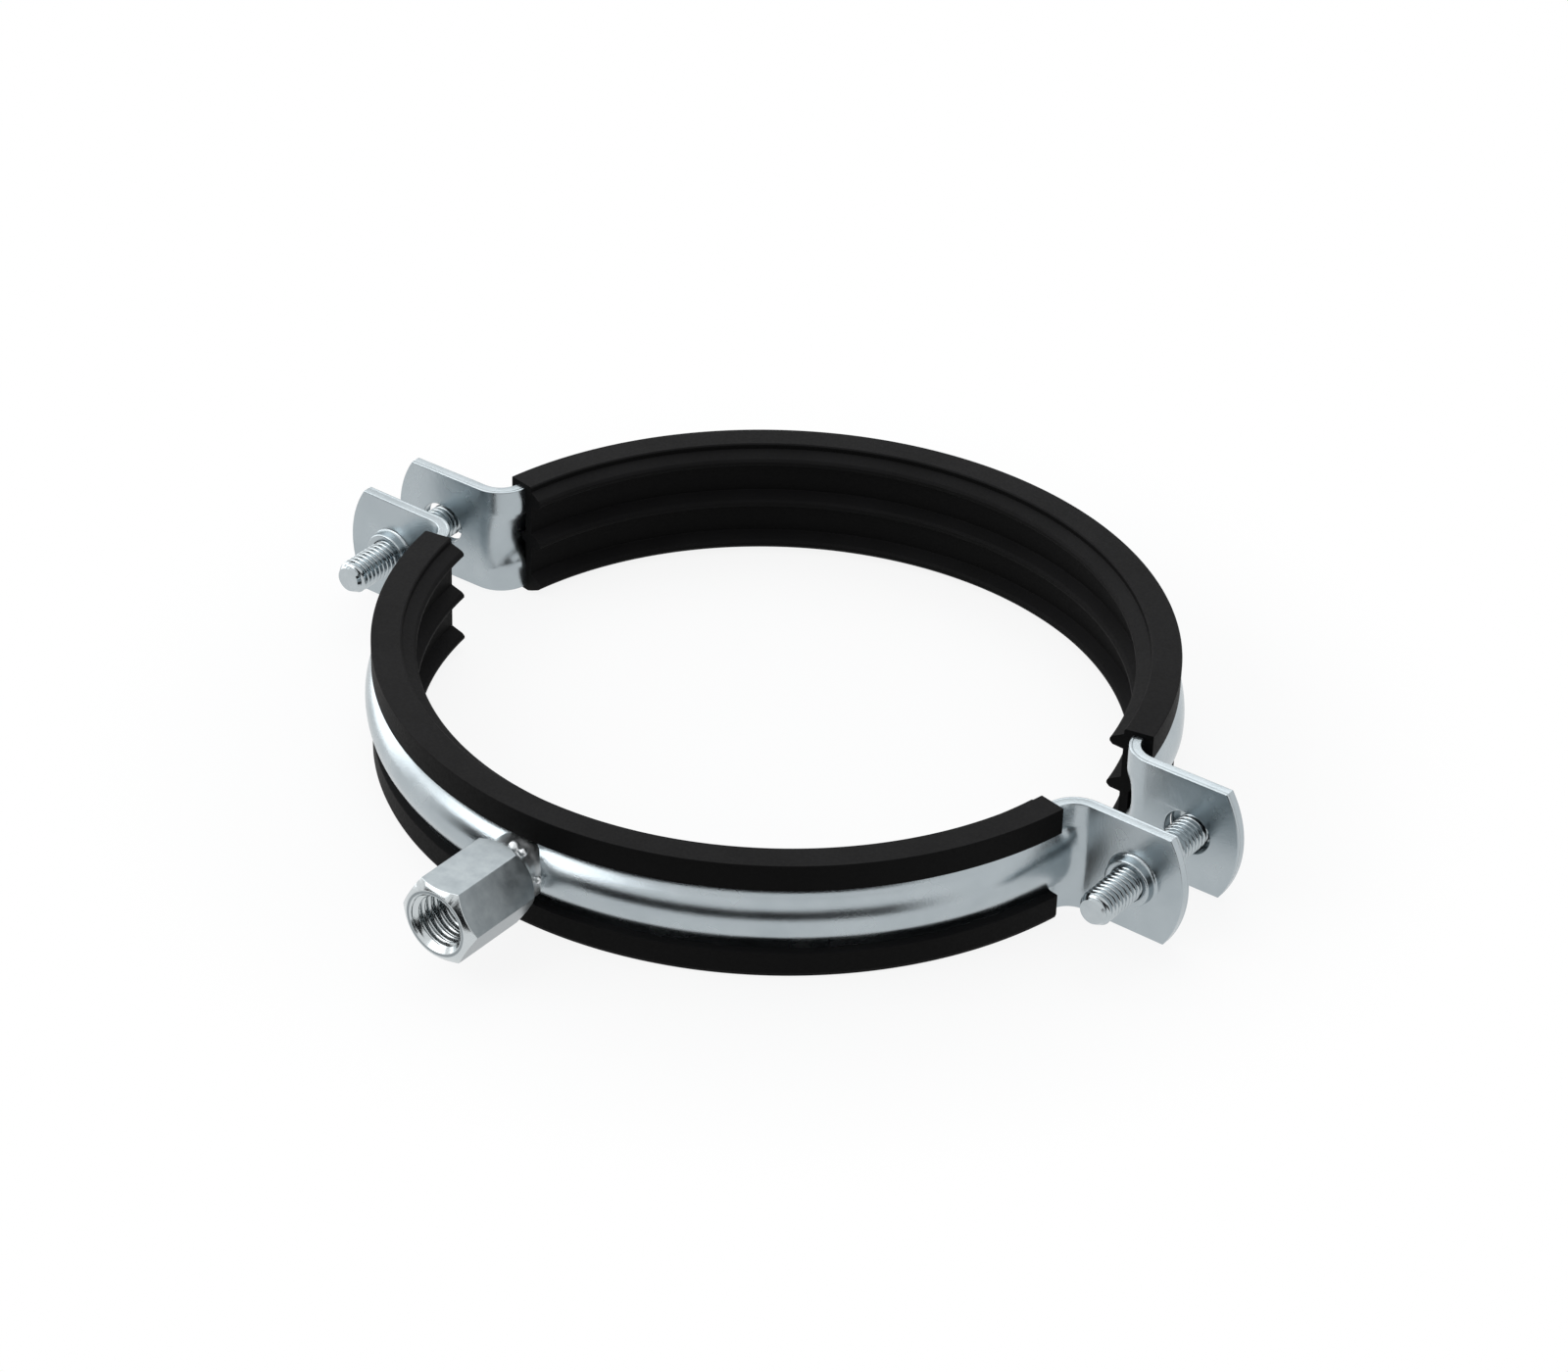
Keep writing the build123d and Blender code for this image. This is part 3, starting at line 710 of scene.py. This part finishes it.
def machineScrew(name, side, body, node):
    s = screw
    x, tip, top = side * screwX, s["seatY"] - s["length"], s["seatY"] + s["headHeight"]
    shank = threadObject(name + "Thread", screwThreadTree, {
        "Pitch": s["pitch"] * mm, "Crest Radius": s["crest"] * mm, "Root Radius": s["root"] * mm,
        "Start": tip * mm, "End": (s["seatY"] - s["plain"]) * mm, "Mouth Radius": s["tipRadius"] * mm,
        "Mouth Slope": s["tipSlope"], "Axis X": x * mm,
        "Around": s["around"], "Per Pitch": s["perPitch"], "Metal": zincScrew})
    # the tip's face is slightly hollow, as rolling leaves it
    tipFace = revolved(name + "Tip", [(s["tipRadius"], tip), (1.75, tip), (1.45, tip + 0.07),
                                      (0.0, tip + 0.12)], s["around"], x)
    seat, edge, reach = s["seatY"], s["headRound"], s["headRadius"]
    neck = revolved(name + "Neck", [(2.3, seat - 1.5), (2.62, seat - s["plain"]), (2.66, seat - 0.2),
                                    (2.9, seat + 0.05)], s["around"], x)
    rim = [(reach - edge + edge * sin(radians(a)), top - edge + edge * cos(radians(a)))
           for a in range(90, -1, -15)]
    underside = [(0.0, seat), (reach - 0.15, seat), (reach, seat + 0.15)]
    head = revolved(name + "Head", underside + rim + [(0.0, top)], s["headAround"], x)
    cutter = bpy.data.meshes.new(name + "Cutter")
    cut = bmesh.new()
    # a bar longer than the head is wide, with its lower face at the slot's floor
    place = Matrix.Translation(Vector((x, top - s["driveDepth"] + 2, 0)) * mm)
    bar = Matrix.Diagonal((14 * mm, 4 * mm, s["driveWidth"] * mm, 1))
    bmesh.ops.create_cube(cut, size=1.0, matrix=place @ bar)
    cut.to_mesh(cutter)
    cut.free()
    cutterObject = newObject(name + "Cutter", cutter)
    slotCut = head.modifiers.new("driveSlot", "BOOLEAN")
    slotCut.object = cutterObject
    slotCut.operation = "DIFFERENCE"
    slotCut.solver = "EXACT"
    softenEdges(head, s["headSoft"], 40)
    applyModifiers(head)
    bpy.data.objects.remove(cutterObject)
    piece = joinObjects(name, [shank, tipFace, neck, head])
    turnOutward(piece.data, False)
    smoothByAngle(piece.data, s["smoothAngle"])
    dress(piece, zincScrew, body, "zinc_screw", node)
    return piece


screwThreadTree = threadTree("screwThread", False)
machineScrew("rightScrew", 1, "screw_right_body", "screw_right")
machineScrew("leftScrew", -1, "screw_left_body", "screw_left")
print("screws made")


# Connection nut

nut = {
    "flats": 13.0, "front": -87.1, "rear": -70.8,
    "frontChamfer": 37.0, "frontFace": 5.9, "rearChamfer": 48.0, "rearFace": 6.4,
    "edgeSoft": 0.16, "flatSteps": 16,
    "mouthRadius": 5.2, "outerPitch": 1.5, "outerCrest": 4.25, "outerRoot": 5.0, "outerDepth": 9.0,
    "innerPitch": 1.25, "innerCrest": 3.4, "innerRoot": 4.0,
    "cornerRound": 0.22, "around": 96, "perPitch": 16, "smoothAngle": 32,
}

# the nut's zinc lies over machined bar, so it is greyer and flatter than the strip's, and
# its turned end and bore are glossier and painted lighter, a painted highlight
nutLook = {"dark": "#788084", "light": "#a8afb2", "cloudSize": 2.4, "rough": (0.28, 0.38),
           "turned": {"front": nut["front"], "faceRadius": nut["frontFace"],
                      "slope": tan(radians(nut["frontChamfer"])), "boreRadius": nut["mouthRadius"] + 0.1,
                      "tone": "#c6ccce", "rough": 0.2},
           "grainSize": 0.22, "pitSize": 0.9, "pitShare": 0.25, "bump": 0.3, "bumpDepth": 0.02}
zincNut = zincPlate("zincPlatedNut", nutLook)


def hexOutline():
    # hexagon with corners at 0, 60, 120 degrees and small rounded corners, as (angle, radius)
    c = nut
    reach = c["flats"] / 2 / cos(radians(30))
    outline = []
    centre = reach - c["cornerRound"] / cos(radians(30))
    for sector in range(6):
        base = radians(60 * sector)
        spots = [Vector((centre + c["cornerRound"] * cos(radians(a)), c["cornerRound"] * sin(radians(a))))
                 for a in range(-30, 31, 10)]
        following = spots[0].copy()
        following.rotate(Matrix.Rotation(radians(60), 2))
        spots += [spots[6].lerp(following, k / c["flatSteps"]) for k in range(1, c["flatSteps"])]
        for spot in spots:
            outline.append((base + atan2(spot.y, spot.x), spot.length))
    return outline


def hexNut():
    c = nut
    outline = hexOutline()
    frontRise, rearRise = tan(radians(c["frontChamfer"])), tan(radians(c["rearChamfer"]))
    points, faces = [], []
    rows = [lambda r: (c["frontFace"], c["front"]),
            lambda r: (r, c["front"] + max(0.0, r - c["frontFace"]) * frontRise),
            lambda r: (r, c["rear"] - max(0.0, r - c["rearFace"]) * rearRise),
            lambda r: (c["rearFace"], c["rear"])]
    for row in rows:
        for angle, r in outline:
            radius, y = row(r)
            points.append((radius * cos(angle), y, radius * sin(angle)))
    count = len(outline)
    for row in range(3):
        for k in range(count):
            a, b = row * count + k, row * count + (k + 1) % count
            faces.append((a, b, b + count, a + count))
    for row, radius, y in ((0, c["mouthRadius"], c["front"]), (3, c["innerRoot"] + 0.3, c["rear"])):
        hole = len(points)
        points += ringPoints(radius, y, c["around"])
        order = [row * count + k for k in range(count)] + [hole + k for k in range(c["around"])]
        flat = [[Vector((points[i][0], points[i][2], 0)) for i in order[:count]],
                [Vector((points[i][0], points[i][2], 0)) for i in order[count:]]]
        faces += [tuple(order[i] for i in tri) for tri in tessellate_polygon(flat)]
    bar = newObject("nutBar", buildMesh("nutBar", points, faces))
    softenEdges(bar, c["edgeSoft"], 24)
    applyModifiers(bar)
    tree = threadTree("nutThread", True)
    step = c["front"] + c["outerDepth"]
    mouth = threadObject("nutMouthThread", tree, {
        "Pitch": c["outerPitch"] * mm, "Crest Radius": c["outerCrest"] * mm,
        "Root Radius": c["outerRoot"] * mm,
        "Start": c["front"] * mm, "End": step * mm, "Mouth Radius": c["mouthRadius"] * mm, "Mouth Slope": 1.0,
        "Axis X": 0.0,
        "Around": c["around"], "Per Pitch": c["perPitch"], "Metal": zincNut})
    deep = threadObject("nutDeepThread", tree, {
        "Pitch": c["innerPitch"] * mm, "Crest Radius": c["innerCrest"] * mm,
        "Root Radius": c["innerRoot"] * mm,
        "Start": step * mm, "End": c["rear"] * mm, "Mouth Radius": (c["outerCrest"] + 0.4) * mm,
        "Mouth Slope": 1.0, "Axis X": 0.0,
        "Around": c["around"], "Per Pitch": c["perPitch"], "Metal": zincNut})
    shoulder = revolved("nutShoulder", [(5.3, step), (c["outerCrest"] + 0.2, step)], c["around"], 0.0)
    floorDisc = revolved("nutFloor", [(c["innerRoot"] + 0.3, c["rear"]), (0.0, c["rear"] - 0.05)],
                         c["around"], 0.0)
    piece = joinObjects("hexNut", [bar, mouth, deep, shoulder, floorDisc])
    smoothByAngle(piece.data, c["smoothAngle"])
    weightNormals(piece)
    dress(piece, zincNut, "base", "zinc_nut", "connection_nut")
    return piece


hexNut()
print("connection nut made")


# Weld between nut and strip

weld = {
    "atNut": 6.1, "neck": 5.3, "atStrip": 5.5, "lumps": 0.12, "lumpSize": 1.6, "voxel": 0.11,
    # spatter beads as (x, distance behind the nut's rear face, z, radius)
    "beads": ((1.6, 0.9, 6.0, 0.95), (3.1, 1.3, 5.4, 0.75), (5.9, 1.7, 1.2, 0.65), (-5.3, 1.5, -1.6, 0.6)),
}


def weldMetalPiece():
    c = weld
    around, steps = 96, 18
    bead = beadCurve(strip["beadHeight"])[0]
    points, faces = [], []
    for step in range(steps + 1):
        part = step / steps
        for k in range(around):
            a = 2 * pi * k / around
            lump = noise.noise(Vector((cos(a), sin(a), part * 1.5)) * 3.0 / c["lumpSize"])
            radius = c["neck"] + (c["atNut"] - c["neck"]) * (1 - ease(part * 3))
            radius += (c["atStrip"] - c["neck"]) * ease(part * 2 - 1)
            radius += c["lumps"] * lump
            x, z = radius * sin(a), radius * cos(a)
            height = strip["beadHeight"] if abs(z) < 1e-6 else 0.0
            for (d0, z0), (d1, z1) in zip(bead, bead[1:]):
                if z1 <= z <= z0:
                    height = d0 + (d1 - d0) * ((z0 - z) / max(1e-9, z0 - z1)) - strip["thickness"]
            surface = -sqrt((strip["innerRadius"] + strip["thickness"] + height) ** 2 - x * x)
            y = nut["rear"] - 0.1 + (surface + 0.25 - nut["rear"] + 0.1) * part
            points.append((x, y, z))
    for step in range(steps):
        for k in range(around):
            a, b = step * around + k, step * around + (k + 1) % around
            faces.append((a, b, b + around, a + around))
    faces.append(tuple(range(around)))
    faces.append(tuple(range(steps * around, (steps + 1) * around)))
    neck = newObject("weldNeck", buildMesh("weldNeck", points, faces))
    beads = []
    for k, (x, y, z, size) in enumerate(c["beads"]):
        bm = bmesh.new()
        bmesh.ops.create_icosphere(bm, subdivisions=4, radius=size * mm)
        for v in bm.verts:
            v.co *= 1 + 0.22 * noise.noise(v.co / (1.1 * mm) + Vector((k * 7.3, 0, 0)))
        bmesh.ops.translate(bm, verts=bm.verts, vec=Vector((x, nut["rear"] + y, z)) * mm)
        mesh = bpy.data.meshes.new("weldBead")
        bm.to_mesh(mesh)
        bm.free()
        beads.append(newObject("weldBead", mesh))
    piece = joinObjects("nutWeld", [neck] + beads)
    remesh = piece.modifiers.new("flow", "REMESH")
    remesh.mode = "VOXEL"
    remesh.voxel_size = c["voxel"] * mm
    soften = piece.modifiers.new("soften", "SMOOTH")
    soften.iterations = 6
    soften.factor = 0.5
    applyModifiers(piece)
    smoothByAngle(piece.data, 80)
    dress(piece, weldMetal, "base", "weld_metal", "nut_weld")
    return piece


weldMetalPiece()
print("weld made")


# Floor, light and camera

studio = {
    "floorZ": -10.7, "floorRadius": 0.125, "floorColor": "#e9ebec", "floorSeen": 0.88, "worldLevel": 0.72,
    # how far out the floor starts to run into the white background, and where it is white
    "fadeFrom": 0.085, "fadeTo": 0.124,
    # dark curved card round the front: its distance, compass degrees from and to, lower and upper edge
    "cardDistance": 0.6, "cardTurn": (-138, -18), "cardHeights": (-0.26, 0.21), "cardColor": "#141618",
}


def makeFloor():
    z = studio["floorZ"] * mm
    mesh = bpy.data.meshes.new("floor")
    around, rings = 96, (0.0, 0.5, 1.0)
    points, faces = [(0, 0, z)], []
    for ring in rings[1:]:
        reach = studio["floorRadius"] * ring
        points += [(reach * cos(2 * pi * k / around), reach * sin(2 * pi * k / around), z)
                   for k in range(around)]
    faces += [(0, 1 + k, 1 + (k + 1) % around) for k in range(around)]
    faces += [(1 + k, 1 + around + k, 1 + around + (k + 1) % around, 1 + (k + 1) % around)
              for k in range(around)]
    mesh.from_pydata(points, [], faces)
    floor = newObject("floor", mesh)
    material, tree, shader = newMaterial("paleFloor")
    shader.inputs["Base Color"].default_value = hexColor(studio["floorColor"])
    shader.inputs["Roughness"].default_value = 0.9
    shader.inputs["Specular IOR Level"].default_value = 0.1
    glow = addNode(tree, "ShaderNodeEmission", None, {"Color": hexColor("#ffffff"), "Strength": 1.0})
    place = addNode(tree, "ShaderNodeTexCoord")
    reach = addNode(tree, "ShaderNodeVectorMath", {"operation": "LENGTH"}, {0: place.outputs["Object"]})
    # towards its rim the floor runs out into the white background
    whiter = addNode(tree, "ShaderNodeMapRange", {"interpolation_type": "SMOOTHSTEP"}, {
        "Value": reach.outputs["Value"], "From Min": studio["fadeFrom"], "From Max": studio["fadeTo"],
        "To Min": studio["floorSeen"], "To Max": 1.0})
    path = addNode(tree, "ShaderNodeLightPath")
    direct = addNode(tree, "ShaderNodeMath", {"operation": "MAXIMUM"}, {
        0: path.outputs["Is Camera Ray"], 1: path.outputs["Is Transmission Ray"]})
    rays = addNode(tree, "ShaderNodeMath", {"operation": "MAXIMUM"}, {
        0: direct.outputs[0], 1: path.outputs["Is Glossy Ray"]})
    seen = addNode(tree, "ShaderNodeMath", {"operation": "MULTIPLY"}, {
        0: rays.outputs[0], 1: whiter.outputs["Result"]})
    blend = addNode(tree, "ShaderNodeMixShader", None, {
        0: seen.outputs[0], 1: shader.outputs[0], 2: glow.outputs[0]})
    tree.links.new(blend.outputs[0], tree.nodes["Material Output"].inputs["Surface"])
    mesh.materials.append(material)


def makeCard():
    # black felt on curved card, out of the picture, so that the metal shows a dark band
    c = studio
    steps = 32
    mesh = bpy.data.meshes.new("card")
    points = []
    for k in range(steps + 1):
        a = radians(c["cardTurn"][0] + (c["cardTurn"][1] - c["cardTurn"][0]) * k / steps)
        points += [(c["cardDistance"] * cos(a), c["cardDistance"] * sin(a), z) for z in c["cardHeights"]]
    faces = [(2 * k, 2 * k + 2, 2 * k + 3, 2 * k + 1) for k in range(steps)]
    mesh.from_pydata(points, [], faces)
    card = newObject("card", mesh)
    card.visible_camera = False
    material, tree, shader = newMaterial("blackFelt")
    shader.inputs["Base Color"].default_value = hexColor(c["cardColor"])
    shader.inputs["Roughness"].default_value = 0.95
    shader.inputs["Specular IOR Level"].default_value = 0.1
    mesh.materials.append(material)


def makeWorld():
    world = bpy.data.worlds.new("studioWorld")
    bpy.context.scene.world = world
    world.use_nodes = True
    tree = world.node_tree
    shader = tree.nodes["Background"]
    path = addNode(tree, "ShaderNodeLightPath")
    direct = addNode(tree, "ShaderNodeMath", {"operation": "MAXIMUM"}, {
        0: path.outputs["Is Camera Ray"], 1: path.outputs["Is Transmission Ray"]})
    rays = addNode(tree, "ShaderNodeMath", {"operation": "MAXIMUM"}, {
        0: direct.outputs[0], 1: path.outputs["Is Glossy Ray"]})
    level = studio["worldLevel"]
    tone = addNode(tree, "ShaderNodeMix", {"data_type": "RGBA"}, {
        "Factor": rays.outputs[0], "A": (level, level, level, 1), "B": (1, 1, 1, 1)})
    tree.links.new(tone.outputs["Result"], shader.inputs["Color"])
    shader.inputs["Strength"].default_value = 1.0


def softLight(name, place, target, size, power):
    lamp = bpy.data.lights.new(name, "AREA")
    lamp.shape = "RECTANGLE"
    lamp.size, lamp.size_y = size
    lamp.energy = power
    obj = bpy.data.objects.new(name, lamp)
    bpy.context.scene.collection.objects.link(obj)
    obj.location = place
    obj.rotation_euler = (Vector(target) - Vector(place)).to_track_quat("-Z", "Y").to_euler()


def makeCamera():
    # viewing angle, distance and lens fitted to the photograph
    view = {"elevation": 33.06, "azimuth": 36.10, "roll": 1.86, "distance": 0.8072, "lens": 111.06,
            "target": (0.00097, 0.00111, 0.0)}
    e, a, r = radians(view["elevation"]), radians(view["azimuth"]), radians(view["roll"])
    back = Vector((sin(a) * cos(e), -cos(a) * cos(e), sin(e)))
    right = Vector((cos(a), sin(a), 0))
    up = back.cross(right)
    turnedRight = right * cos(r) + up * sin(r)
    turnedUp = up * cos(r) - right * sin(r)
    camera = bpy.data.cameras.new("camera")
    camera.lens = view["lens"]
    camera.sensor_width = 36
    camera.sensor_fit = "HORIZONTAL"
    camera.clip_start, camera.clip_end = 0.01, 20
    obj = bpy.data.objects.new("camera", camera)
    bpy.context.scene.collection.objects.link(obj)
    rotation = Matrix((turnedRight, turnedUp, back)).transposed().to_4x4()
    obj.matrix_world = Matrix.Translation(Vector(view["target"]) + back * view["distance"]) @ rotation
    bpy.context.scene.camera = obj


makeFloor()
makeCard()
makeWorld()
softLight("overhead", (-0.35, 0.45, 0.9), (0, 0, 0), (0.8, 0.8), 2.6)
softLight("leftBox", (-0.95, 0.12, 0.22), (0, 0, 0), (0.8, 0.7), 3.0)
softLight("frontLeftBox", (-0.50, -0.62, 0.58), (0, 0, 0), (0.8, 0.62), 3.1)
makeCamera()
bpy.context.scene.view_settings.view_transform = "Standard"
print("floor, light and camera set")
